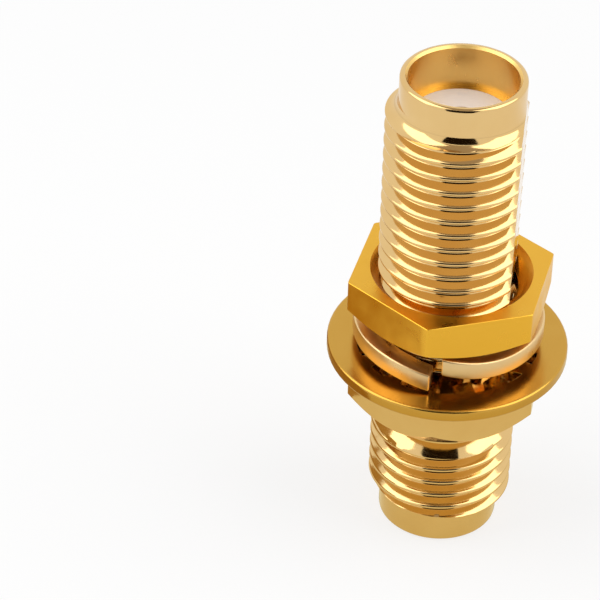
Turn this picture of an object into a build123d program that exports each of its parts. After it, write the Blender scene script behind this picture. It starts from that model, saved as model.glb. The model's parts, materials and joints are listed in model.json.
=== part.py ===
from build123d import *
from math import cos, radians, sin, tan
import os

# Gold-plated SMA bulkhead adapter, socket to socket, standing on its short end.
# The axis is Z, the short end's rim is at zero, and the flat of the long barrel faces +X.

# Driving dimensions in millimetres and degrees
# Thread and barrels
thread_diameter = 6.35
collar_diameter = 5.28
collar_length = 1.2
neck_diameter = 5.4
rim_edge = 0.08
short_thread_length = 3.95
short_neck_length = 1.6
long_thread_length = 11.7
long_neck_length = 1.1
panel_flat_from_axis = 2.65

# Hex flange between the two barrels
flange_across_flats = 8.0
flange_thickness = 2.05
flange_chamfer_angle = 50.0

# Socket in each end
socket_diameter = 4.62
socket_depth = 1.9
socket_mouth_chamfer = 0.1

# Dielectric and centre contact
dielectric_diameter = 4.1
dielectric_clearance = 0.01
contact_diameter = 1.27
contact_clearance = 0.015
contact_set_back = 0.05
contact_collar_diameter = 1.9
contact_collar_length = 0.9
contact_bore_diameter = 0.94
contact_bore_depth = 2.6
contact_drill_angle = 118.0
contact_slot_width = 0.15
contact_slot_length = 2.1
contact_slot_count = 2
contact_tip_chamfer = 0.08

# Toothed lock washer on the flange
tooth_washer_diameter = 10.5
tooth_washer_thickness = 0.55
tooth_ring_width = 1.25
tooth_rim_round = 0.12
tooth_tip_clearance = 0.12
tooth_count = 15
tooth_width = 0.85
tooth_twist_angle = 14.0
tooth_flat_root = 0.1

# Split spring washer
spring_outer_diameter = 8.3
spring_bore_clearance = 0.12
spring_thickness = 0.84
spring_helix_rise = 0.35
spring_end_kick = 0.3
spring_kick_share = 0.12
spring_gap_angle = 7.0
spring_gap_direction = -91.0
spring_section_count = 25

# Hex nut
nut_across_flats = 8.0
nut_thickness = 1.8
nut_turn_angle = 24.0
nut_chamfer_angle = 30.0
nut_countersink_diameter = 7.0
nut_back_countersink_diameter = 6.8
nut_thread_clearance = 0.03
nut_seat_clearance = 0.02

# Radii worked out from the driving dimensions
thread_radius = thread_diameter / 2
collar_radius = collar_diameter / 2
neck_radius = neck_diameter / 2
socket_radius = socket_diameter / 2
dielectric_radius = dielectric_diameter / 2
contact_radius = contact_diameter / 2

# A quarter round leads from each collar out to the thread, and a slope of 45 degrees down to each neck.
# The thread's length takes in its quarter round, and the neck's length its slope.
lead_round = thread_radius - collar_radius
run_out = thread_radius - neck_radius

# Heights up the axis, from the short end's rim
short_thread_start = collar_length + lead_round
short_thread_end = collar_length + short_thread_length
flange_bottom = short_thread_end + short_neck_length
flange_top = flange_bottom + flange_thickness
long_thread_start = flange_top + long_neck_length
long_collar_start = long_thread_start + long_thread_length
long_thread_end = long_collar_start - lead_round
total_length = long_collar_start + collar_length
short_reference_plane = socket_depth
long_reference_plane = total_length - socket_depth
contact_middle = total_length / 2

# Heights of the loose hardware stacked on the flange
tooth_half_height = (
    tooth_width / 2 * sin(radians(tooth_twist_angle))
    + tooth_washer_thickness / 2 * cos(radians(tooth_twist_angle))
)
tooth_washer_middle = flange_top + tooth_half_height
spring_bottom = tooth_washer_middle + tooth_half_height
spring_total_rise = spring_helix_rise + 2 * spring_end_kick
spring_top = spring_bottom + spring_total_rise + spring_thickness
nut_bottom = spring_top + nut_seat_clearance
nut_top = nut_bottom + nut_thickness

os.makedirs("parts", exist_ok=True)


# Body: one turned and milled brass piece
with BuildPart() as body:
    with BuildSketch(Plane.XZ):
        with BuildLine():
            Polyline(
                (collar_radius, collar_length),
                (collar_radius, rim_edge),
                (collar_radius - rim_edge, 0),
                (0, 0),
                (0, total_length),
                (collar_radius - rim_edge, total_length),
                (collar_radius, total_length - rim_edge),
                (collar_radius, long_collar_start),
            )
            RadiusArc((collar_radius, long_collar_start), (thread_radius, long_thread_end), -lead_round)
            Polyline(
                (thread_radius, long_thread_end),
                (thread_radius, long_thread_start),
                (neck_radius, long_thread_start - run_out),
                (neck_radius, short_thread_end + run_out),
                (thread_radius, short_thread_end),
                (thread_radius, short_thread_start),
            )
            RadiusArc((thread_radius, short_thread_start), (collar_radius, collar_length), -lead_round)
        make_face()
    revolve(axis=Axis.Z)

    # The anti-rotation flat runs the whole long barrel, down to the flange
    with BuildSketch(Plane.XY.offset(flange_top)):
        with Locations((panel_flat_from_axis, 0)):
            Rectangle(thread_radius, thread_diameter, align=(Align.MIN, Align.CENTER))
    extrude(amount=long_collar_start - flange_top, mode=Mode.SUBTRACT)

    # Hexagonal flange, its corners turned off on the side of the short barrel
    with BuildSketch(Plane.XY.offset(flange_bottom)):
        RegularPolygon(
            radius=flange_across_flats / 2, side_count=6, major_radius=False, rotation=30
        )
    extrude(amount=flange_thickness)
    with BuildSketch(Plane.XZ):
        with BuildLine():
            Polyline(
                (flange_across_flats / 2, flange_bottom),
                (flange_across_flats, flange_bottom),
                (
                    flange_across_flats,
                    flange_bottom + flange_across_flats / 2 * tan(radians(flange_chamfer_angle)),
                ),
                close=True,
            )
        make_face()
    revolve(axis=Axis.Z, mode=Mode.SUBTRACT)

    # Through bore for the dielectric, opened out into a socket at each end
    with BuildSketch(Plane.XZ):
        with BuildLine():
            Polyline(
                (0, 0),
                (socket_radius + socket_mouth_chamfer, 0),
                (socket_radius, socket_mouth_chamfer),
                (socket_radius, short_reference_plane),
                (dielectric_radius, short_reference_plane),
                (dielectric_radius, long_reference_plane),
                (socket_radius, long_reference_plane),
                (socket_radius, total_length - socket_mouth_chamfer),
                (socket_radius + socket_mouth_chamfer, total_length),
                (0, total_length),
                close=True,
            )
        make_face()
    revolve(axis=Axis.Z, mode=Mode.SUBTRACT)

body.part.label = "body"
export_step(body.part, "parts/body.step")


# Dielectric: two halves meet on the contact's collar and trap it
contact_hole_radius = contact_radius + contact_clearance
collar_pocket_radius = contact_collar_diameter / 2 + contact_clearance
collar_pocket_depth = contact_collar_length / 2 + contact_clearance


def dielectric_profile(outer_end, inner_end):
    """Half section of one dielectric half, from its face to the middle of the contact."""
    towards_face = 1 if outer_end > inner_end else -1
    pocket_end = inner_end + towards_face * collar_pocket_depth
    outer_radius = dielectric_radius - dielectric_clearance
    Polyline(
        (contact_hole_radius, outer_end),
        (outer_radius, outer_end),
        (outer_radius, inner_end),
        (collar_pocket_radius, inner_end),
        (collar_pocket_radius, pocket_end),
        (contact_hole_radius, pocket_end),
        close=True,
    )


with BuildPart() as short_dielectric:
    with BuildSketch(Plane.XZ):
        with BuildLine():
            dielectric_profile(short_reference_plane, contact_middle)
        make_face()
    revolve(axis=Axis.Z)

short_dielectric.part.label = "short_dielectric"
export_step(short_dielectric.part, "parts/short_dielectric.step")

with BuildPart() as long_dielectric:
    with BuildSketch(Plane.XZ):
        with BuildLine():
            dielectric_profile(long_reference_plane, contact_middle)
        make_face()
    revolve(axis=Axis.Z)

long_dielectric.part.label = "long_dielectric"
export_step(long_dielectric.part, "parts/long_dielectric.step")


# Centre contact: a slotted socket at each end and a captive collar in the middle
contact_bottom = short_reference_plane + contact_set_back
contact_top = long_reference_plane - contact_set_back
contact_bore_radius = contact_bore_diameter / 2
drill_point_length = contact_bore_radius / tan(radians(contact_drill_angle / 2))
contact_ends = (
    Plane((0, 0, contact_bottom), x_dir=(1, 0, 0), z_dir=(0, 0, 1)),
    Plane((0, 0, contact_top), x_dir=(1, 0, 0), z_dir=(0, 0, -1)),
)

with BuildPart() as centre_contact:
    with BuildSketch(Plane.XY.offset(contact_bottom)):
        Circle(contact_radius)
    extrude(amount=contact_top - contact_bottom)
    chamfer(centre_contact.edges().filter_by(GeomType.CIRCLE), length=contact_tip_chamfer)
    with BuildSketch(Plane.XY.offset(contact_middle)):
        Circle(contact_collar_diameter / 2)
    extrude(amount=contact_collar_length / 2, both=True)

    for end_plane in contact_ends:
        # The socket is drilled, so it ends in the drill's point
        with BuildSketch(Plane(end_plane.origin, x_dir=(1, 0, 0), z_dir=(0, -1, 0))):
            inwards = end_plane.z_dir.Z
            with BuildLine():
                Polyline(
                    (0, 0),
                    (contact_bore_radius, 0),
                    (contact_bore_radius, inwards * contact_bore_depth),
                    (0, inwards * (contact_bore_depth + drill_point_length)),
                    close=True,
                )
            make_face()
        revolve(axis=Axis.Z, mode=Mode.SUBTRACT)
        # Crossing saw cuts free the spring fingers
        with BuildSketch(end_plane):
            with PolarLocations(0, contact_slot_count, angular_range=180):
                Rectangle(contact_diameter * 2, contact_slot_width)
        extrude(amount=contact_slot_length, mode=Mode.SUBTRACT)

centre_contact.part.label = "centre_contact"
export_step(centre_contact.part, "parts/centre_contact.step")


# Toothed lock washer: a flat ring with twisted teeth pointing at the thread
tooth_ring_inner_radius = tooth_washer_diameter / 2 - tooth_ring_width
tooth_twist_start_radius = tooth_ring_inner_radius - tooth_flat_root
tooth_tip_radius = thread_radius + tooth_tip_clearance
tooth_stations = (
    (tooth_twist_start_radius, 0),
    (tooth_tip_radius, tooth_twist_angle),
)

with BuildPart() as washer_tooth:
    for station_radius, station_twist in tooth_stations:
        station_middle = (station_radius, 0, tooth_washer_middle)
        with BuildSketch(Plane(station_middle, x_dir=(0, 1, 0), z_dir=(1, 0, 0))):
            Rectangle(tooth_width, tooth_washer_thickness, rotation=station_twist)
    loft(ruled=True)

with BuildPart() as tooth_washer:
    with BuildSketch(Plane.XY.offset(tooth_washer_middle)):
        Circle(tooth_washer_diameter / 2)
        Circle(tooth_ring_inner_radius, mode=Mode.SUBTRACT)
        with PolarLocations(tooth_twist_start_radius, tooth_count):
            Rectangle(
                tooth_flat_root + tooth_ring_width / 2,
                tooth_width,
                align=(Align.MIN, Align.CENTER),
            )
    extrude(amount=tooth_washer_thickness / 2, both=True)
    outer_edges = tooth_washer.edges().filter_by(GeomType.CIRCLE).group_by(SortBy.RADIUS)[-1]
    fillet(outer_edges, radius=tooth_rim_round)
    with PolarLocations(0, tooth_count):
        add(washer_tooth.part)

tooth_washer.part.label = "tooth_washer"
export_step(tooth_washer.part, "parts/tooth_washer.step")


# Split spring washer: a left-hand turn of square wire with its ends kicked out
spring_inner_radius = thread_radius + spring_bore_clearance
spring_outer_radius = spring_outer_diameter / 2
spring_mean_radius = (spring_inner_radius + spring_outer_radius) / 2
spring_wire_width = spring_outer_radius - spring_inner_radius


def spring_rise(share):
    """Height of the wire's lower face above its low end, at a share of the turn."""
    low_kick = min(share / spring_kick_share, 1)
    high_kick = max((share - 1) / spring_kick_share + 1, 0)
    low_kick_rise = spring_end_kick * (1 - (1 - low_kick) ** 2)
    return low_kick_rise + spring_helix_rise * share + spring_end_kick * high_kick**2


with BuildPart() as spring_washer:
    for section in range(spring_section_count):
        turn_share = section / (spring_section_count - 1)
        angle = spring_gap_direction - spring_gap_angle / 2 - turn_share * (360 - spring_gap_angle)
        outwards = Vector(cos(radians(angle)), sin(radians(angle)), 0)
        wire_middle = spring_bottom + spring_rise(turn_share) + spring_thickness / 2
        section_plane = Plane(
            outwards * spring_mean_radius + Vector(0, 0, wire_middle),
            x_dir=outwards,
            z_dir=Vector(0, 0, 1).cross(outwards),
        )
        with BuildSketch(section_plane):
            Rectangle(spring_wire_width, spring_thickness)
    loft()

spring_washer.part.label = "spring_washer"
export_step(spring_washer.part, "parts/spring_washer.step")


# Hex nut: corners turned off below, thread countersunk on both faces
nut_bore_radius = thread_radius + nut_thread_clearance
nut_circle_radius = nut_across_flats / 2
nut_corner_drop = nut_circle_radius * tan(radians(nut_chamfer_angle))

with BuildPart() as hex_nut:
    with BuildSketch(Plane.XY.offset(nut_bottom)):
        RegularPolygon(
            radius=nut_circle_radius, side_count=6, major_radius=False, rotation=nut_turn_angle
        )
    extrude(amount=nut_thickness)
    with BuildSketch(Plane.XZ):
        with BuildLine():
            Polyline(
                (nut_circle_radius, nut_bottom),
                (2 * nut_circle_radius, nut_bottom),
                (2 * nut_circle_radius, nut_bottom + nut_corner_drop),
                close=True,
            )
        make_face()
    revolve(axis=Axis.Z, mode=Mode.SUBTRACT)
    with BuildSketch(Plane.XZ):
        top_sink_depth = nut_countersink_diameter / 2 - nut_bore_radius
        back_sink_depth = nut_back_countersink_diameter / 2 - nut_bore_radius
        with BuildLine():
            Polyline(
                (0, nut_bottom),
                (nut_back_countersink_diameter / 2, nut_bottom),
                (nut_bore_radius, nut_bottom + back_sink_depth),
                (nut_bore_radius, nut_top - top_sink_depth),
                (nut_countersink_diameter / 2, nut_top),
                (0, nut_top),
                close=True,
            )
        make_face()
    revolve(axis=Axis.Z, mode=Mode.SUBTRACT)

hex_nut.part.label = "hex_nut"
export_step(hex_nut.part, "parts/hex_nut.step")
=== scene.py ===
"""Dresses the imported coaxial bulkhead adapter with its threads, plated finishes, studio and camera."""
import json
from math import acos, ceil, cos, hypot, pi, radians, sin, tan

import bmesh
import bpy
from bpy.props import FloatProperty, FloatVectorProperty, IntProperty, PointerProperty
from mathutils import Matrix, Vector


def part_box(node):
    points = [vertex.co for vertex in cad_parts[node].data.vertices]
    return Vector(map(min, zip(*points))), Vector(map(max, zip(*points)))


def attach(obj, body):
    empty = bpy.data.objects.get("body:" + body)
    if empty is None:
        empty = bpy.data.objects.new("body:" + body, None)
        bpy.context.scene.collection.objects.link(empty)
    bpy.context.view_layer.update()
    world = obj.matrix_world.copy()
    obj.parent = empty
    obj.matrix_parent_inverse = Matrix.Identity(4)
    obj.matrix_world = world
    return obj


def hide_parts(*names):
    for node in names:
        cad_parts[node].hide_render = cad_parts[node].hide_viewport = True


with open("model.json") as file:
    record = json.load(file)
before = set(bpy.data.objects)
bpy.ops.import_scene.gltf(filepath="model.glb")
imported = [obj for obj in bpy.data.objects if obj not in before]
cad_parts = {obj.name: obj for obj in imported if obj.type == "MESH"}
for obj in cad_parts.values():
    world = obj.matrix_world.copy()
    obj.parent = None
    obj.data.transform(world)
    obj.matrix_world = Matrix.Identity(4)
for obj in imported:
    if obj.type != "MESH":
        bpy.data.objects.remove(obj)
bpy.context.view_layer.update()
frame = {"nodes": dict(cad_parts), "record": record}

bl_info = {
    "name": "SMA bulkhead adapter",
    "version": (1, 0, 0),
    "blender": (4, 5, 0),
    "location": "3D view > Sidebar > Adapter",
    "description": "Builds the threads, hardware, finishes and studio of a coaxial bulkhead adapter",
    "category": "Object",
}

MM = 0.001
COLUMNS = 180  # points round each ring, a multiple of 12 so that hex corners and face middles fall on one
FLAT_COLUMNS = 12  # columns from the middle of the barrel's flat to either of its edges
COLUMN_ANGLE = 2 * pi / COLUMNS
LEAD_STEPS = 10  # steps along the quarter round that leads into a thread
SLOPE_STEPS = 6  # steps along the slope where a thread runs out
SINK_STEPS = 9  # steps along a countersink of the nut
FLANK_SUPPORTS = (0.1, 0.9)  # points near both ends of a thread's flank, which keep its shading straight
CREASE = radians(38)  # edges that turn by more than this stay crisp
WAVE_PERIOD = 0.31  # metres between the rings of a wave texture at a scale of 1
PART_MIDDLE = 12 * MM  # height that the lights and cards face
FLOOR_HALF = 1.5  # half the floor's side, in metres
# The warm light near the part is painted into the floor's emission colour, and only reflections see it
BOUNCE_NEAR, BOUNCE_FAR = 14 * MM, 24 * MM  # the warm light on the floor fades out between these distances
MOUNTS = {mount["name"]: mount for mount in frame["record"]["mounts"]}


def node_height(node, end):
    """Height of a CAD node's lower (0) or upper (1) end, in millimetres."""
    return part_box(node)[end].z / MM


def linear_colour(code):
    """The linear colour of an sRGB hex value."""
    channels = [int(code[i : i + 2], 16) / 255 for i in (1, 3, 5)]
    return tuple(c / 12.92 if c <= 0.04045 else ((c + 0.055) / 1.055) ** 2.4 for c in channels)


def length(name, description, millimetres):
    """A setting for a length, with its default in millimetres."""
    return FloatProperty(
        name=name, description=description, default=millimetres * MM, unit="LENGTH", min=0.0
    )


def degrees(name, description, value):
    """A setting for an angle, with its default in degrees."""
    return FloatProperty(name=name, description=description, default=radians(value), subtype="ANGLE")


def colour(name, description, code):
    """A setting for a colour, with its default as an sRGB hex value."""
    return FloatVectorProperty(
        name=name, description=description, default=linear_colour(code), subtype="COLOR", size=3
    )


class ThreadSizes(bpy.types.PropertyGroup):
    pitch: length("Pitch", "Rise of one turn of the 1/4-36 thread", 25.4 / 36)
    radius: length("Major radius", "Radius over the crests", MOUNTS["short_thread"]["dims"]["r_mm"])
    flank: degrees("Flank", "Slope of the flanks, from the axis", 60)
    crest_round: length("Crest rounding", "Radius over the crests, with the plating", 0.1)
    root_round: length("Root rounding", "Radius in the roots", 0.09)
    front_angle: degrees("Front angle", "Direction of the thread's front line from the axis", -85.5)
    long_groove: length("Long groove", "Height at which a groove of the long thread passes the front", 20.84)
    short_groove: length("Short groove", "The same on the short thread", 4.80)
    play: length("Play", "Radial gap between the thread and the nut's own thread", 0.05)


class BodySizes(bpy.types.PropertyGroup):
    total: length("Overall length", "Rim to rim", node_height("body", 1))
    collar_radius: length("Collar radius", "Plain collar at each end", MOUNTS["long_collar"]["dims"]["r_mm"])
    collar: length("Collar length", "Length of each plain collar", 1.2)
    neck_radius: length("Neck radius", "Relief beside the flange", 2.7)
    short_thread_end: length("Short thread end", "Where the short thread starts to run out", 5.15)
    flange_bottom: length("Flange bottom", "Height of the flange's lower face", 6.75)
    flange_top: length("Flange top", "Height of the flange's upper face", 8.8)
    flange_apothem: length("Flange half width", "Half the width across the flats", 4.0)
    flange_chamfer_start: length("Chamfer circle", "Radius at which the turned corners start", 3.97)
    flange_chamfer: degrees("Chamfer", "Slope of the turned corners", 50)
    long_thread_start: length("Long thread start", "Where the long thread has its full radius", 9.9)
    flat: length("Flat", "Distance of the long barrel's flat from the axis", 2.65)
    socket_radius: length("Socket radius", "Bore of each socket", MOUNTS["long_socket"]["dims"]["r_mm"])
    socket_depth: length("Socket depth", "Depth of each socket", 1.9)
    socket_chamfer: length("Socket chamfer", "Chamfer of each socket's mouth", 0.1)
    bore_radius: length("Bore radius", "Bore that holds the dielectric", 2.05)
    rim_round: length("Rim rounding", "Rounding of the rims", 0.15)
    edge_break: length("Edge break", "Bevel left by tumbling on milled edges", 0.06)
    corner_round: length("Corner rounding", "Rounding of the flange's six corners", 0.09)


class NutSizes(bpy.types.PropertyGroup):
    bottom: length("Bottom", "Height of the nut's lower face", node_height("hex_nut", 0))
    top: length("Top", "Height of the nut's upper face", node_height("hex_nut", 1))
    apothem: length("Half width", "Half the width across the flats", 4.0)
    turn: degrees("Turn", "How far the nut is turned from the flange's hexagon", -6)
    chamfer: degrees("Chamfer", "Slope of the turned corners", 30)
    chamfer_start: length("Chamfer circle", "Radius at which the turned corners start", 3.94)
    sink_radius: length("Countersink radius", "Mouth of the upper countersink", 3.5)
    back_sink_radius: length("Back countersink radius", "Mouth of the lower countersink", 3.4)
    edge_break: length("Edge break", "Bevel left by tumbling", 0.02)
    corner_round: length("Corner rounding", "Rounding of the nut's six corners", 0.12)


class SpringSizes(bpy.types.PropertyGroup):
    bottom: length("Bottom", "Height of the low end", node_height("spring_washer", 0))
    inner_radius: length("Inner radius", "Inside of the washer", 3.295)
    outer_radius: length("Outer radius", "Outside of the washer", 4.15)
    thickness: length("Thickness", "Height of the wire", 0.84)
    rise: length("Rise", "Steady climb over the turn", 0.35)
    kick: length("Kick", "Extra bend of each end", 0.3)
    kick_share: FloatProperty(
        name="Kick share", description="Share of the turn in which an end bends",
        default=0.12, subtype="FACTOR",
    )
    gap: degrees("Gap", "Opening between the ends", 7)
    gap_direction: degrees("Gap direction", "Where the opening faces", -91)
    burr: length("Burr", "Small chamfer of the sheared ends", 0.04)
    edge_round: length("Edge rounding", "Rounding of the drawn wire's edges", 0.09)
    sections: IntProperty(name="Sections", description="Sections along the wire", default=120, min=8)


class Finishes(bpy.types.PropertyGroup):
    body: colour("Body gold", "Bright gold plate on turned brass", "#E6C488")
    bore: colour("Bore gold", "Satin gold plate on bored brass", "#F1CE80")
    nut: colour("Nut gold", "Deeper gold plate on the nut", "#EFBB42")
    disc: colour("Toothed washer gold", "Gold plate on stamped bronze", "#CEA148")
    spring: colour("Spring washer gold", "Pale gold plate on drawn bronze wire", "#E9CB97")
    contact: colour("Contact gold", "Gold plate on beryllium copper", "#E0B878")
    ptfe: colour("PTFE", "Turned PTFE", "#F4EAE4")


class StageSettings(bpy.types.PropertyGroup):
    floor: colour("Floor", "Pale floor", "#F2F2F2")
    # Painted warm light: the floor's emission colour near the part, seen only in the metal's reflections
    painted_bounce: colour("Bounce", "Warm light that the gold throws on the floor round it", "#E9DDA6")
    card: colour("Card", "Dark side of the studio, towards the camera", "#1E1408")
    ceiling: colour("Ceiling", "Unlit ceiling between the lights", "#B0A498")
    side: colour("Side", "Low amber card at the left, which deepens the gold on that side", "#B5904E")
    lens: FloatProperty(name="Lens", description="Focal length", default=164.9, unit="CAMERA")


# Meshes


def thread_profile(thread):
    """Points from the crest to the root: distance along the axis from the crest's middle, and depth."""
    half = thread.pitch / 2
    rounds = thread.crest_round + thread.root_round
    flank_run = half - rounds * sin(thread.flank)
    root = rounds * (1 - cos(thread.flank)) + flank_run * tan(thread.flank)
    profile = []
    for share in (0, 0.25, 0.5, 0.75, 1):
        slope = thread.flank * share
        profile.append((thread.crest_round * sin(slope), thread.crest_round * (1 - cos(slope))))
    run, depth = profile[-1]
    for share in FLANK_SUPPORTS:
        profile.append((run + share * flank_run, depth + share * flank_run * tan(thread.flank)))
    for share in (1, 0.5, 0):
        slope = thread.flank * share
        root_depth = root - thread.root_round * (1 - cos(slope))
        profile.append((half - thread.root_round * sin(slope), root_depth))
    return profile


def thread_cut(thread, groove, play=0.0):
    """The thread's radius by angle and height, with a groove that passes the front at a given height."""
    profile = thread_profile(thread)

    def radius_at(angle, height):
        turns = (height - groove) / thread.pitch - (angle - thread.front_angle) / (2 * pi)
        from_crest = (0.5 - abs(turns - round(turns))) * thread.pitch
        for (near, shallow), (far, deep) in zip(profile, profile[1:]):
            if from_crest <= far:
                share = (from_crest - near) / (far - near)
                return thread.radius + play - shallow - share * (deep - shallow)
        return thread.radius + play - profile[-1][1]

    return radius_at


def place(radius, angle, height):
    """A place from its distance to the axis, its direction and its height."""
    return (radius * cos(angle), radius * sin(angle), height)


def even_angles():
    """Directions of a ring's columns, evenly spaced from the side opposite the flat."""
    return [-pi + column * COLUMN_ANGLE for column in range(COLUMNS)]


def flat_angles(edges):
    """Angles of a ring's columns, with one column on each edge of the flat."""
    angles = []
    middle = COLUMNS // 2
    for column in range(COLUMNS):
        offset = column - middle
        edge = edges[offset > 0]
        if abs(offset) <= FLAT_COLUMNS:
            angles.append(offset / FLAT_COLUMNS * edge)
            continue
        share = (abs(offset) - FLAT_COLUMNS) / (middle - FLAT_COLUMNS)
        angle = edge + share * (pi - edge)
        angles.append(angle if offset > 0 else -angle)
    return angles


def add_ring(points, places):
    """Adds a closed ring of points and gives their numbers, with the first again at the end."""
    first = len(points)
    points.extend(places)
    ring = list(range(first, len(points)))
    return ring + ring[:1]


def round_ring(points, radius, height):
    """A level, evenly spaced round ring."""
    return add_ring(points, [place(radius, angle, height) for angle in even_angles()])


def flat_edge(radius, flat):
    """Half the angle that a flat takes from a circle, or 3 degrees where it takes less."""
    return max(acos(min(1, flat / radius)), radians(3))


def flat_places(radius_at, height_at, flat):
    """A row of places round the axis, cut by the flat where there is one."""
    angles = even_angles()
    if flat:
        edges = []
        # The radius at the flat's edge depends on where the edge is, so a few rounds find it
        for side in (-1, 1):
            edge = radians(20)
            for _ in range(6):
                edge = flat_edge(radius_at(side * edge), flat)
            edges.append(edge)
        angles = flat_angles(edges)
    places = []
    for angle in angles:
        radius = radius_at(angle)
        if flat and abs(angle) < 1:
            radius = min(radius, flat / cos(angle))
        places.append(place(radius, angle, height_at(angle)))
    return places


def cut_ring(points, profile, height, cut=None, flat=None, choose=min):
    """A level ring of the blank's radius, or of the thread's where that is the smaller (or larger)."""

    def radius_at(angle):
        return choose(profile, cut(angle, height)) if cut else profile

    return add_ring(points, flat_places(radius_at, lambda angle: height, flat))


def hex_ring(points, apothem, corner_round, turn, height_of):
    """A hexagon's outline with rounded corners, its first corner 30 degrees from +X before the turn."""
    places = []
    for angle in even_angles():
        corner = round((angle - radians(30)) / radians(60)) * radians(60) + radians(30)
        step = round((angle - corner) / COLUMN_ANGLE)
        tip = apothem / cos(radians(30))
        if abs(step) <= 1:
            centre = tip - corner_round / cos(radians(30))
            bend = step * radians(30)
            x = centre + corner_round * cos(bend)
            y = corner_round * sin(bend)
            radius = hypot(x, y)
            angle = corner + step * acos(min(1, x / radius))
        else:
            radius = apothem / cos(radians(30) - abs(angle - corner))
        places.append(place(radius, angle + turn, height_of(radius)))
    return add_ring(points, places)


def corner_arc(before, corner, after, rounding, steps=3):
    """Points of a rounded corner of a profile."""
    before, corner, after = Vector(before), Vector(corner), Vector(after)
    start = corner + (before - corner).normalized() * rounding
    end = corner + (after - corner).normalized() * rounding
    arc = []
    for step in range(steps + 1):
        share = step / steps
        arc.append(start.lerp(corner, share).lerp(corner.lerp(end, share), share))
    return [(point.x, point.y) for point in arc]


def thread_rings(points, thread, groove, bottom, top, play=0.0, flat=None):
    """Rings along the helix from one level ring to another, whose points they share where they meet it."""
    profile = thread_profile(thread)
    phases = [(run / thread.pitch, depth) for run, depth in profile]
    phases += [(1 - phase, depth) for phase, depth in phases[-2:0:-1]]
    start, end = bottom[1], top[1]
    # A point this near a level ring joins it, so that no sliver is left
    snap = 0.012 * thread.pitch
    base = groove - thread.pitch * (0.5 + (thread.front_angle + pi) / (2 * pi))
    base -= thread.pitch * ceil((base - start) / thread.pitch + 1)
    table = []
    for turn in range(ceil((end - base) / thread.pitch) + 1):
        for phase, depth in phases:
            radius = thread.radius + play - depth
            foot = base + thread.pitch * (turn + phase + 0.5)
            places = flat_places(
                lambda angle: radius, lambda angle: foot + thread.pitch * angle / (2 * pi), flat
            )
            row = []
            for column, spot in enumerate(places):
                if spot[2] <= start + snap:
                    row.append(bottom[0][column])
                elif spot[2] >= end - snap:
                    row.append(top[0][column])
                else:
                    row.append(len(points))
                    points.append(spot)
            table.append(row)
    count = len(phases)
    return [
        row + [table[number + count][0] if number + count < len(table) else top[0][0]]
        for number, row in enumerate(table)
    ]


def join_rings(rings, closed=True):
    """Faces between each ring and the next; a face loses the corners that the two rings share."""
    faces = []
    following = rings[1:] + rings[:1] if closed else rings[1:]
    for lower, upper in zip(rings, following):
        for corners in zip(lower, lower[1:], upper[1:], upper):
            kept = [n for n, before in zip(corners, corners[-1:] + corners[:-1]) if n != before]
            if len(kept) > 2 and len(set(kept)) == len(kept):
                faces.append(kept)
    return faces


def make_piece(name, points, faces):
    """A mesh object with outward normals, crisp edges and shading led by its larger faces."""
    mesh = bpy.data.meshes.new(name)
    mesh.from_pydata(points, [], faces)
    skin = bmesh.new()
    skin.from_mesh(mesh)
    loose = [point for point in skin.verts if not point.link_faces]
    bmesh.ops.delete(skin, geom=loose, context="VERTS")
    bmesh.ops.recalc_face_normals(skin, faces=skin.faces)
    skin.to_mesh(mesh)
    skin.free()
    mesh.shade_smooth()
    mesh.set_sharp_from_angle(angle=CREASE)
    piece = bpy.data.objects.new(name, mesh)
    bpy.context.scene.collection.objects.link(piece)
    shading = piece.modifiers.new("Face-led shading", "WEIGHTED_NORMAL")
    shading.keep_sharp = True
    return piece


def finish_piece(piece, body, slot, material, *nodes):
    """Gives a piece its material and its body, and hides the CAD nodes it stands for; the slot is not used.
    """
    piece.data.materials.append(material)
    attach(piece, body)
    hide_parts(*nodes)


# Materials


def add_node(tree, kind, inputs=None, links=None, **settings):
    """Adds a shader node with its settings, its sockets' values and the outputs that feed it."""
    node = tree.nodes.new("ShaderNode" + kind)
    for setting, value in settings.items():
        setattr(node, setting, value)
    for socket, value in (inputs or {}).items():
        node.inputs[socket].default_value = value
    for socket, output in (links or {}).items():
        tree.links.new(output, node.inputs[socket])
    return node


def start_material(name):
    """A new material and its empty node tree."""
    material = bpy.data.materials.new(name)
    material.use_nodes = True
    material.node_tree.nodes.clear()
    return material, material.node_tree


def gold_plate(name, tint, roughness, waviness_mm, blotch_mm, grain_mm):
    """Gold electroplate: metal whose colour and gloss shift a little in blotches over a faintly wavy base."""
    material, tree = start_material(name)
    where = add_node(tree, "TexCoord").outputs["Object"]
    blotches = add_node(
        tree, "TexNoise", {"Scale": 1 / (blotch_mm * MM), "Detail": 3.0, "Roughness": 0.55}, {"Vector": where}
    )
    grain = add_node(
        tree, "TexNoise", {"Scale": 1 / (grain_mm * MM), "Detail": 2.0}, {"Vector": where}
    )
    # The blotches go towards a darker and redder gold
    dark = tuple(channel * factor for channel, factor in zip(tint, (0.9, 0.84, 0.74)))
    tone = add_node(
        tree, "Mix", {6: (*dark, 1), 7: (*tint, 1)}, {0: blotches.outputs["Fac"]}, data_type="RGBA"
    )
    gloss = add_node(
        tree, "MapRange",
        {"From Min": 0.3, "From Max": 0.7, "To Min": roughness * 0.75, "To Max": roughness * 1.3},
        {"Value": blotches.outputs["Fac"]},
    )
    relief = add_node(
        tree, "Bump", {"Strength": 1.0, "Distance": waviness_mm * MM}, {"Height": grain.outputs["Fac"]}
    )
    shader = add_node(
        tree, "BsdfPrincipled", {"Metallic": 1.0},
        {"Base Color": tone.outputs[2], "Roughness": gloss.outputs[0], "Normal": relief.outputs[0]},
    )
    add_node(tree, "OutputMaterial", links={"Surface": shader.outputs[0]})
    return material


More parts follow.
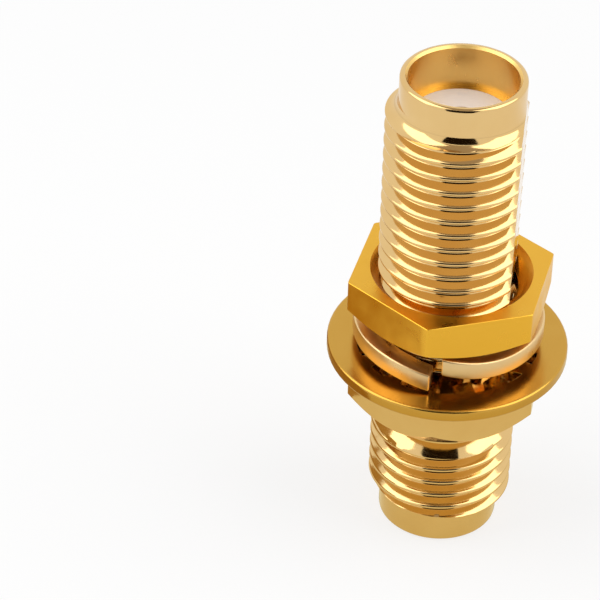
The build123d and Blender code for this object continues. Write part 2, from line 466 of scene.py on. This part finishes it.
def turned_ptfe(name, tint):
    """Turned PTFE: waxy, nearly white, with faint concentric tool rings."""
    material, tree = start_material(name)
    where = add_node(tree, "TexCoord").outputs["Object"]
    # Tool rings 0.18 mm apart, coarser than the real ones so that they show
    rings = add_node(
        tree, "TexWave", {"Scale": WAVE_PERIOD / (0.18 * MM), "Distortion": 0.4, "Detail": 1.0},
        {"Vector": where}, wave_type="RINGS", rings_direction="Z",
    )
    cloud = add_node(tree, "TexNoise", {"Scale": 1 / (0.8 * MM), "Detail": 3.0}, {"Vector": where})
    shade = tuple(channel * 0.93 for channel in tint)
    tone = add_node(
        tree, "Mix", {6: (*shade, 1), 7: (*tint, 1)}, {0: cloud.outputs["Fac"]}, data_type="RGBA"
    )
    relief = add_node(
        tree, "Bump", {"Strength": 0.4, "Distance": 0.004 * MM}, {"Height": rings.outputs["Fac"]}
    )
    shader = add_node(
        tree, "BsdfPrincipled", {"Roughness": 0.42, "IOR": 1.35},
        {"Base Color": tone.outputs[2], "Normal": relief.outputs[0]},
    )
    add_node(tree, "OutputMaterial", links={"Surface": shader.outputs[0]})
    return material


def dress_node(node, material, bevel_mm=0.0):
    """Gives a CAD node its material, and breaks its edges where asked."""
    piece = frame["nodes"][node]
    piece.data.materials.clear()
    piece.data.materials.append(material)
    if bevel_mm:
        weld = piece.modifiers.new("Weld", "WELD")
        weld.merge_threshold = 1e-7
        bevel = piece.modifiers.new("Edge break", "BEVEL")
        bevel.width = bevel_mm * MM
        bevel.segments = 2
        bevel.angle_limit = radians(50)
        shading = piece.modifiers.new("Face-led shading", "WEIGHTED_NORMAL")
        shading.keep_sharp = True


# Pieces


class ADAPTER_OT_body(bpy.types.Operator):
    """Builds the turned body with both threads, the flat, the flange and the bores"""

    bl_idname = "adapter.body"
    bl_label = "Body"

    def execute(self, context):
        thread = context.scene.adapter_thread
        size = context.scene.adapter_body
        points = []
        long_collar = size.total - size.collar
        mouth_radius = size.socket_radius + size.socket_chamfer
        lead = thread.radius - size.collar_radius
        run_out = thread.radius - size.neck_radius
        short_cut = thread_cut(thread, thread.short_groove)
        long_cut = thread_cut(thread, thread.long_groove)

        def lead_round(collar, towards_thread):
            """The quarter round from a collar out to the thread."""
            slopes = [radians(90) * step / LEAD_STEPS for step in range(LEAD_STEPS + 1)]
            return [
                (thread.radius - lead * cos(slope), collar + towards_thread * lead * sin(slope))
                for slope in slopes
            ]

        def thread_slope(full, towards_neck):
            """The slope from the thread's full radius down to a neck."""
            drops = [run_out * step / SLOPE_STEPS for step in range(SLOPE_STEPS + 1)]
            return [(thread.radius - drop, full + towards_neck * drop) for drop in drops]

        def rounded_rim(edge, collar):
            """The rounded outer edge of a rim."""
            mouth, corner = (mouth_radius, edge), (size.collar_radius, edge)
            return corner_arc(mouth, corner, (size.collar_radius, collar), size.rim_round)

        rim = [(mouth_radius, 0.0)] + rounded_rim(0.0, size.collar)
        rings = [round_ring(points, radius, height) for radius, height in rim]
        rings += [cut_ring(points, *spot, short_cut) for spot in lead_round(size.collar, 1)]
        full, *slope = thread_slope(size.short_thread_end, 1)
        run_out_rings = [cut_ring(points, *full, short_cut)]
        run_out_rings += [cut_ring(points, *spot) for spot in slope]
        rings += thread_rings(
            points, thread, thread.short_groove,
            (rings[-1], size.collar + lead), (run_out_rings[0], size.short_thread_end),
        )
        rings += run_out_rings
        rings += [
            round_ring(points, size.neck_radius, size.flange_bottom),
            round_ring(points, size.flange_chamfer_start, size.flange_bottom),
            hex_ring(
                points, size.flange_apothem, size.corner_round, 0.0,
                lambda radius: size.flange_bottom
                + (radius - size.flange_chamfer_start) * tan(size.flange_chamfer),
            ),
            hex_ring(
                points, size.flange_apothem, size.corner_round, 0.0,
                lambda radius: size.flange_top - size.edge_break,
            ),
            hex_ring(
                points, size.flange_apothem - size.edge_break, size.corner_round, 0.0,
                lambda radius: size.flange_top,
            ),
            cut_ring(points, size.neck_radius, size.flange_top, flat=size.flat),
        ]
        full, *slope = thread_slope(size.long_thread_start, -1)
        rings += [cut_ring(points, *spot, flat=size.flat) for spot in slope[::-1]]
        rings.append(cut_ring(points, *full, long_cut, size.flat))
        lead_rings = [
            cut_ring(points, *spot, long_cut, size.flat) for spot in lead_round(long_collar, -1)[::-1]
        ]
        rings += thread_rings(
            points, thread, thread.long_groove,
            (rings[-1], size.long_thread_start), (lead_rings[0], long_collar - lead), flat=size.flat,
        )
        rings += lead_rings
        inside = [
            (mouth_radius, size.total),
            (size.socket_radius, size.total - size.socket_chamfer),
            (size.socket_radius, size.total - size.socket_depth),
            (size.bore_radius, size.total - size.socket_depth),
            (size.bore_radius, size.socket_depth),
            (size.socket_radius, size.socket_depth),
            (size.socket_radius, size.socket_chamfer),
        ]
        rim = rounded_rim(size.total, long_collar)[::-1]
        rings += [round_ring(points, radius, height) for radius, height in rim + inside]
        body = make_piece("body_turned", points, join_rings(rings))
        finishes = context.scene.adapter_finishes
        # Bright gold plate on turned brass: near-mirror reflections with a faint waviness
        plate = gold_plate(
            "gold_plate_on_turned_brass", finishes.body,
            roughness=0.1, waviness_mm=0.002, blotch_mm=1.6, grain_mm=0.35,
        )
        finish_piece(body, "adapter", "gold_body", plate, "body")
        # Gold plate on bored brass: satin from the boring tool, so the sockets shade smoothly
        bored = gold_plate(
            "gold_plate_on_bored_brass", finishes.bore,
            roughness=0.32, waviness_mm=0.003, blotch_mm=1.6, grain_mm=0.2,
        )
        body.data.materials.append(bored)
        # Only the bores lie nearer to the axis than the sockets' mouths
        for face in body.data.polygons:
            if hypot(face.center.x, face.center.y) < mouth_radius:
                face.material_index = 1
        return {"FINISHED"}


class ADAPTER_OT_nut(bpy.types.Operator):
    """Builds the hex nut with its countersinks and its own thread"""

    bl_idname = "adapter.nut"
    bl_label = "Hex nut"

    def execute(self, context):
        thread = context.scene.adapter_thread
        size = context.scene.adapter_nut
        points = []

        def turned_corner(radius):
            """Height of the lower face's turned chamfer at a distance from the axis."""
            return size.bottom + max(0, radius - size.chamfer_start) * tan(size.chamfer)

        root_radius = thread.radius + thread.play - thread_profile(thread)[-1][1]
        cut = thread_cut(thread, thread.long_groove, thread.play)

        def countersink(mouth, face, inwards):
            """Rings of a 45 degree countersink, from its mouth in to the crests of the nut's thread."""
            depth = mouth - root_radius
            drops = [depth * step / SINK_STEPS for step in range(SINK_STEPS + 1)]
            return [cut_ring(points, mouth - drop, face + inwards * drop, cut, choose=max) for drop in drops]

        upper = countersink(size.sink_radius, size.top, -1)
        lower = countersink(size.back_sink_radius, size.bottom, 1)
        low = size.bottom + size.back_sink_radius - root_radius
        high = size.top - size.sink_radius + root_radius
        turns = thread_rings(
            points, thread, thread.long_groove, (lower[-1], low), (upper[-1], high), thread.play
        )
        rings = [
            round_ring(points, size.chamfer_start, size.bottom),
            hex_ring(points, size.apothem, size.corner_round, size.turn, turned_corner),
            hex_ring(
                points, size.apothem, size.corner_round, size.turn,
                lambda radius: size.top - size.edge_break,
            ),
            hex_ring(
                points, size.apothem - size.edge_break, size.corner_round, size.turn,
                lambda radius: size.top,
            ),
        ]
        rings += upper + turns[::-1] + lower[::-1]
        nut = make_piece("hex_nut_threaded", points, join_rings(rings))
        # Gold plate on a milled brass nut: deeper in colour than the body, with soft reflections
        plate = gold_plate(
            "gold_plate_on_milled_brass", context.scene.adapter_finishes.nut,
            roughness=0.34, waviness_mm=0.006, blotch_mm=1.2, grain_mm=0.5,
        )
        finish_piece(nut, "nut", "gold_hardware", plate, "hex_nut")
        return {"FINISHED"}


class ADAPTER_OT_washers(bpy.types.Operator):
    """Builds the split spring washer and dresses the toothed washer"""

    bl_idname = "adapter.washers"
    bl_label = "Washers"

    def execute(self, context):
        size = context.scene.adapter_spring
        finishes = context.scene.adapter_finishes
        half_width = (size.outer_radius - size.inner_radius) / 2
        half_height = size.thickness / 2
        middle_radius = (size.outer_radius + size.inner_radius) / 2

        def section(inset):
            """Points round the wire's section, outwards and up from its middle."""
            corners = [(half_width, -half_height), (half_width, half_height)]
            corners += [(-half_width, half_height), (-half_width, -half_height)]
            outline = []
            for number, corner in enumerate(corners):
                outline += corner_arc(corners[number - 1], corner, corners[(number + 1) % 4], size.edge_round)
            shrink = (half_width - inset) / half_width
            return [(x * shrink, y * shrink) for x, y in outline]

        def rise(share):
            """Climb of the wire at a share of its turn, with both ends kicked out."""
            low = min(share / size.kick_share, 1)
            high = max((share - 1) / size.kick_share + 1, 0)
            return size.kick * (1 - (1 - low) ** 2) + size.rise * share + size.kick * high**2

        points, rings = [], []
        arc = 2 * pi - size.gap
        burr_share = size.burr / (arc * middle_radius)
        stations = [(0.0, size.burr), (burr_share, 0.0)]
        stations += [(number / size.sections, 0.0) for number in range(1, size.sections)]
        stations += [(1 - burr_share, 0.0), (1.0, size.burr)]
        for share, inset in stations:
            angle = size.gap_direction - size.gap / 2 - share * arc
            height = size.bottom + rise(share) + half_height
            places = [place(middle_radius + x, angle, height + y) for x, y in section(inset)]
            rings.append(add_ring(points, places))
        faces = join_rings(rings, closed=False) + [rings[0][:-1], rings[-1][:-1]]
        washer = make_piece("spring_washer_wire", points, faces)
        # Pale gold plate on drawn bronze wire: satin, almost straw coloured
        pale = gold_plate(
            "pale_gold_plate_on_drawn_wire", finishes.spring,
            roughness=0.34, waviness_mm=0.006, blotch_mm=0.9, grain_mm=0.3,
        )
        finish_piece(washer, "adapter", "pale_gold_hardware", pale, "spring_washer")
        # Gold plate on a stamped bronze washer: a fairly bright face with softened edges
        stamped = gold_plate(
            "gold_plate_on_stamped_bronze", finishes.disc,
            roughness=0.2, waviness_mm=0.006, blotch_mm=1.4, grain_mm=0.6,
        )
        dress_node("tooth_washer", stamped, bevel_mm=0.03)
        return {"FINISHED"}


class ADAPTER_OT_inside(bpy.types.Operator):
    """Dresses the dielectric halves and the centre contact"""

    bl_idname = "adapter.inside"
    bl_label = "Dielectric and contact"

    def execute(self, context):
        finishes = context.scene.adapter_finishes
        # Turned PTFE: nearly white and waxy, with faint tool rings
        ptfe = turned_ptfe("turned_ptfe", finishes.ptfe)
        dress_node("short_dielectric", ptfe)
        dress_node("long_dielectric", ptfe)
        # Gold plate on beryllium copper: bright, finely turned
        plate = gold_plate(
            "gold_plate_on_beryllium_copper", finishes.contact,
            roughness=0.14, waviness_mm=0.003, blotch_mm=0.7, grain_mm=0.2,
        )
        dress_node("centre_contact", plate)
        return {"FINISHED"}


# Stage


def seen_ray(tree):
    """One where the camera, a reflection or a refraction looks, and zero where light only arrives."""
    ray = add_node(tree, "LightPath")
    seen = ray.outputs["Is Camera Ray"]
    for kind in ("Is Glossy Ray", "Is Transmission Ray"):
        both = add_node(tree, "Math", links={0: seen, 1: ray.outputs[kind]}, operation="MAXIMUM")
        seen = both.outputs[0]
    return seen


def floor_material(name, tint, painted_bounce, diffuse_share, glow):
    """A pale surface that looks white to the eye and in the metal, and still takes the shadow; near the part
    its reflection carries painted warm light.
    """
    material, tree = start_material(name)
    strength = add_node(tree, "Math", {1: glow}, {0: seen_ray(tree)}, operation="MULTIPLY")
    matt = add_node(tree, "BsdfDiffuse", {"Color": (*[c * diffuse_share for c in tint], 1)})
    # A painted pool of warm light on the floor round the part, seen only in reflections, which warms the
    # metal of the lower parts
    glossy = add_node(tree, "LightPath").outputs["Is Glossy Ray"]
    where = add_node(tree, "TexCoord").outputs["Object"]
    distance = add_node(tree, "VectorMath", links={0: where}, operation="LENGTH")
    near = add_node(
        tree, "MapRange", {"From Min": BOUNCE_NEAR, "From Max": BOUNCE_FAR, "To Min": 1.0, "To Max": 0.0},
        {"Value": distance.outputs["Value"]}, interpolation_type="SMOOTHSTEP",
    )
    warmth = add_node(tree, "Math", links={0: near.outputs[0], 1: glossy}, operation="MULTIPLY")
    hue = add_node(
        tree, "Mix", {6: (1, 1, 1, 1), 7: (*painted_bounce, 1)}, {0: warmth.outputs[0]}, data_type="RGBA"
    )
    light = add_node(
        tree, "Emission", links={"Color": hue.outputs[2], "Strength": strength.outputs[0]}
    )
    both = add_node(tree, "AddShader", links={0: matt.outputs[0], 1: light.outputs[0]})
    add_node(tree, "OutputMaterial", links={"Surface": both.outputs[0]})
    return material


def aim_at_part(thing, azimuth, elevation, distance):
    """Puts a light or card at a distance in millimetres, in a direction from the part, facing it."""
    turn, lift = radians(azimuth), radians(elevation)
    back = Vector((sin(turn) * cos(lift), -cos(turn) * cos(lift), sin(lift)))
    thing.location = Vector((0, 0, PART_MIDDLE)) + back * distance * MM
    thing.rotation_euler = (-back).to_track_quat("-Z", "Y").to_euler()


def add_softbox(name, azimuth, elevation, distance, width, height, radiance):
    """A rectangular softbox that faces the part, with its angles in degrees from the front."""
    lamp = bpy.data.lights.new(name, "AREA")
    lamp.shape = "RECTANGLE"
    lamp.size, lamp.size_y = width * MM, height * MM
    lamp.energy = radiance * pi * lamp.size * lamp.size_y
    box = bpy.data.objects.new(name, lamp)
    bpy.context.scene.collection.objects.link(box)
    aim_at_part(box, azimuth, elevation, distance)
    box.visible_camera = False


def add_card(name, tint, azimuth, elevation, distance, width, height):
    """A card that only the metal's reflections see, placed like a softbox."""
    x, y = width * MM / 2, height * MM / 2
    mesh = bpy.data.meshes.new(name)
    mesh.from_pydata([(-x, -y, 0), (x, -y, 0), (x, y, 0), (-x, y, 0)], [], [(0, 1, 2, 3)])
    material, tree = start_material(name)
    dim = add_node(tree, "Emission", {"Color": (*tint, 1), "Strength": 1.0})
    add_node(tree, "OutputMaterial", links={"Surface": dim.outputs[0]})
    mesh.materials.append(material)
    card = bpy.data.objects.new(name, mesh)
    bpy.context.scene.collection.objects.link(card)
    aim_at_part(card, azimuth, elevation, distance)
    card.visible_camera = card.visible_diffuse = card.visible_shadow = False
    card.visible_transmission = False


class ADAPTER_OT_stage(bpy.types.Operator):
    """Builds the floor, the soft lights, the world and the camera"""

    bl_idname = "adapter.stage"
    bl_label = "Stage"

    def execute(self, context):
        settings = context.scene.adapter_stage
        scene = context.scene
        scene.view_settings.view_transform = "Standard"

        corners = [(x * FLOOR_HALF, y * FLOOR_HALF, 0) for x, y in ((-1, -1), (1, -1), (1, 1), (-1, 1))]
        mesh = bpy.data.meshes.new("floor")
        mesh.from_pydata(corners, [], [(0, 1, 2, 3)])
        floor = bpy.data.objects.new("floor", mesh)
        scene.collection.objects.link(floor)
        pale = floor_material(
            "pale_studio_floor", settings.floor, settings.painted_bounce, diffuse_share=0.3, glow=0.715
        )
        mesh.materials.append(pale)

        world = bpy.data.worlds.new("white_studio")
        scene.world = world
        world.use_nodes = True
        tree = world.node_tree
        tree.nodes.clear()
        # White where it is seen, and about half of that as light on the part
        strength = add_node(tree, "MapRange", {"To Min": 0.55, "To Max": 1.0}, {"Value": seen_ray(tree)})
        sky = add_node(tree, "Background", {"Color": (1, 1, 1, 1)}, {"Strength": strength.outputs[0]})
        add_node(tree, "OutputWorld", links={"Surface": sky.outputs[0]})

        for name, azimuth in (("softbox_left", -78), ("softbox_right", 87)):
            add_softbox(name, azimuth, elevation=46, distance=170, width=150, height=190, radiance=1.55)
        add_card(
            "matt_black_card", settings.card, azimuth=5, elevation=24.5, distance=106, width=98, height=112
        )
        add_card(
            "grey_cloth_ceiling", settings.ceiling,
            azimuth=0, elevation=90, distance=300, width=190, height=400,
        )
        add_card("amber_card", settings.side, azimuth=-88, elevation=-25, distance=11, width=12, height=8)

        camera = bpy.data.cameras.new("camera")
        camera.lens = settings.lens
        camera.sensor_width = 36
        camera.clip_start, camera.clip_end = 0.005, 5
        view = bpy.data.objects.new("camera", camera)
        scene.collection.objects.link(view)
        # Found by fitting the barrel, rims, nut and washers to the photograph
        forward = Vector((-0.1170, 0.7948, -0.5955)).normalized()
        right = Vector((0.9869, 0.1603, 0.0201))
        right = (right - right.dot(forward) * forward).normalized()
        up = right.cross(forward)
        turn = Matrix((right, up, -forward)).transposed()
        view.matrix_world = Matrix.Translation(Vector((7.50, -95.28, 81.92)) * MM) @ turn.to_4x4()
        scene.camera = view
        return {"FINISHED"}


class ADAPTER_PT_panel(bpy.types.Panel):
    """Lists the operators and their settings"""

    bl_idname = "ADAPTER_PT_panel"
    bl_label = "SMA bulkhead adapter"
    bl_space_type = "VIEW_3D"
    bl_region_type = "UI"
    bl_category = "Adapter"

    def draw(self, context):
        for operator in OPERATORS:
            self.layout.operator(operator.bl_idname)
        for name in SETTINGS:
            group = getattr(context.scene, name)
            box = self.layout.box()
            for key in group.__annotations__:
                box.prop(group, key)


OPERATORS = (ADAPTER_OT_body, ADAPTER_OT_nut, ADAPTER_OT_washers, ADAPTER_OT_inside, ADAPTER_OT_stage)
SETTINGS = {
    "adapter_thread": ThreadSizes,
    "adapter_body": BodySizes,
    "adapter_nut": NutSizes,
    "adapter_spring": SpringSizes,
    "adapter_finishes": Finishes,
    "adapter_stage": StageSettings,
}


def register():
    for group in SETTINGS.values():
        bpy.utils.register_class(group)
    for name, group in SETTINGS.items():
        setattr(bpy.types.Scene, name, PointerProperty(type=group))
    for operator in OPERATORS:
        bpy.utils.register_class(operator)
    bpy.utils.register_class(ADAPTER_PT_panel)


def unregister():
    bpy.utils.unregister_class(ADAPTER_PT_panel)
    for operator in reversed(OPERATORS):
        bpy.utils.unregister_class(operator)
    for name, group in SETTINGS.items():
        delattr(bpy.types.Scene, name)
        bpy.utils.unregister_class(group)


def main():
    register()
    bpy.ops.adapter.body()
    bpy.ops.adapter.nut()
    bpy.ops.adapter.washers()
    bpy.ops.adapter.inside()
    bpy.ops.adapter.stage()


if __name__ == "__main__":
    main()
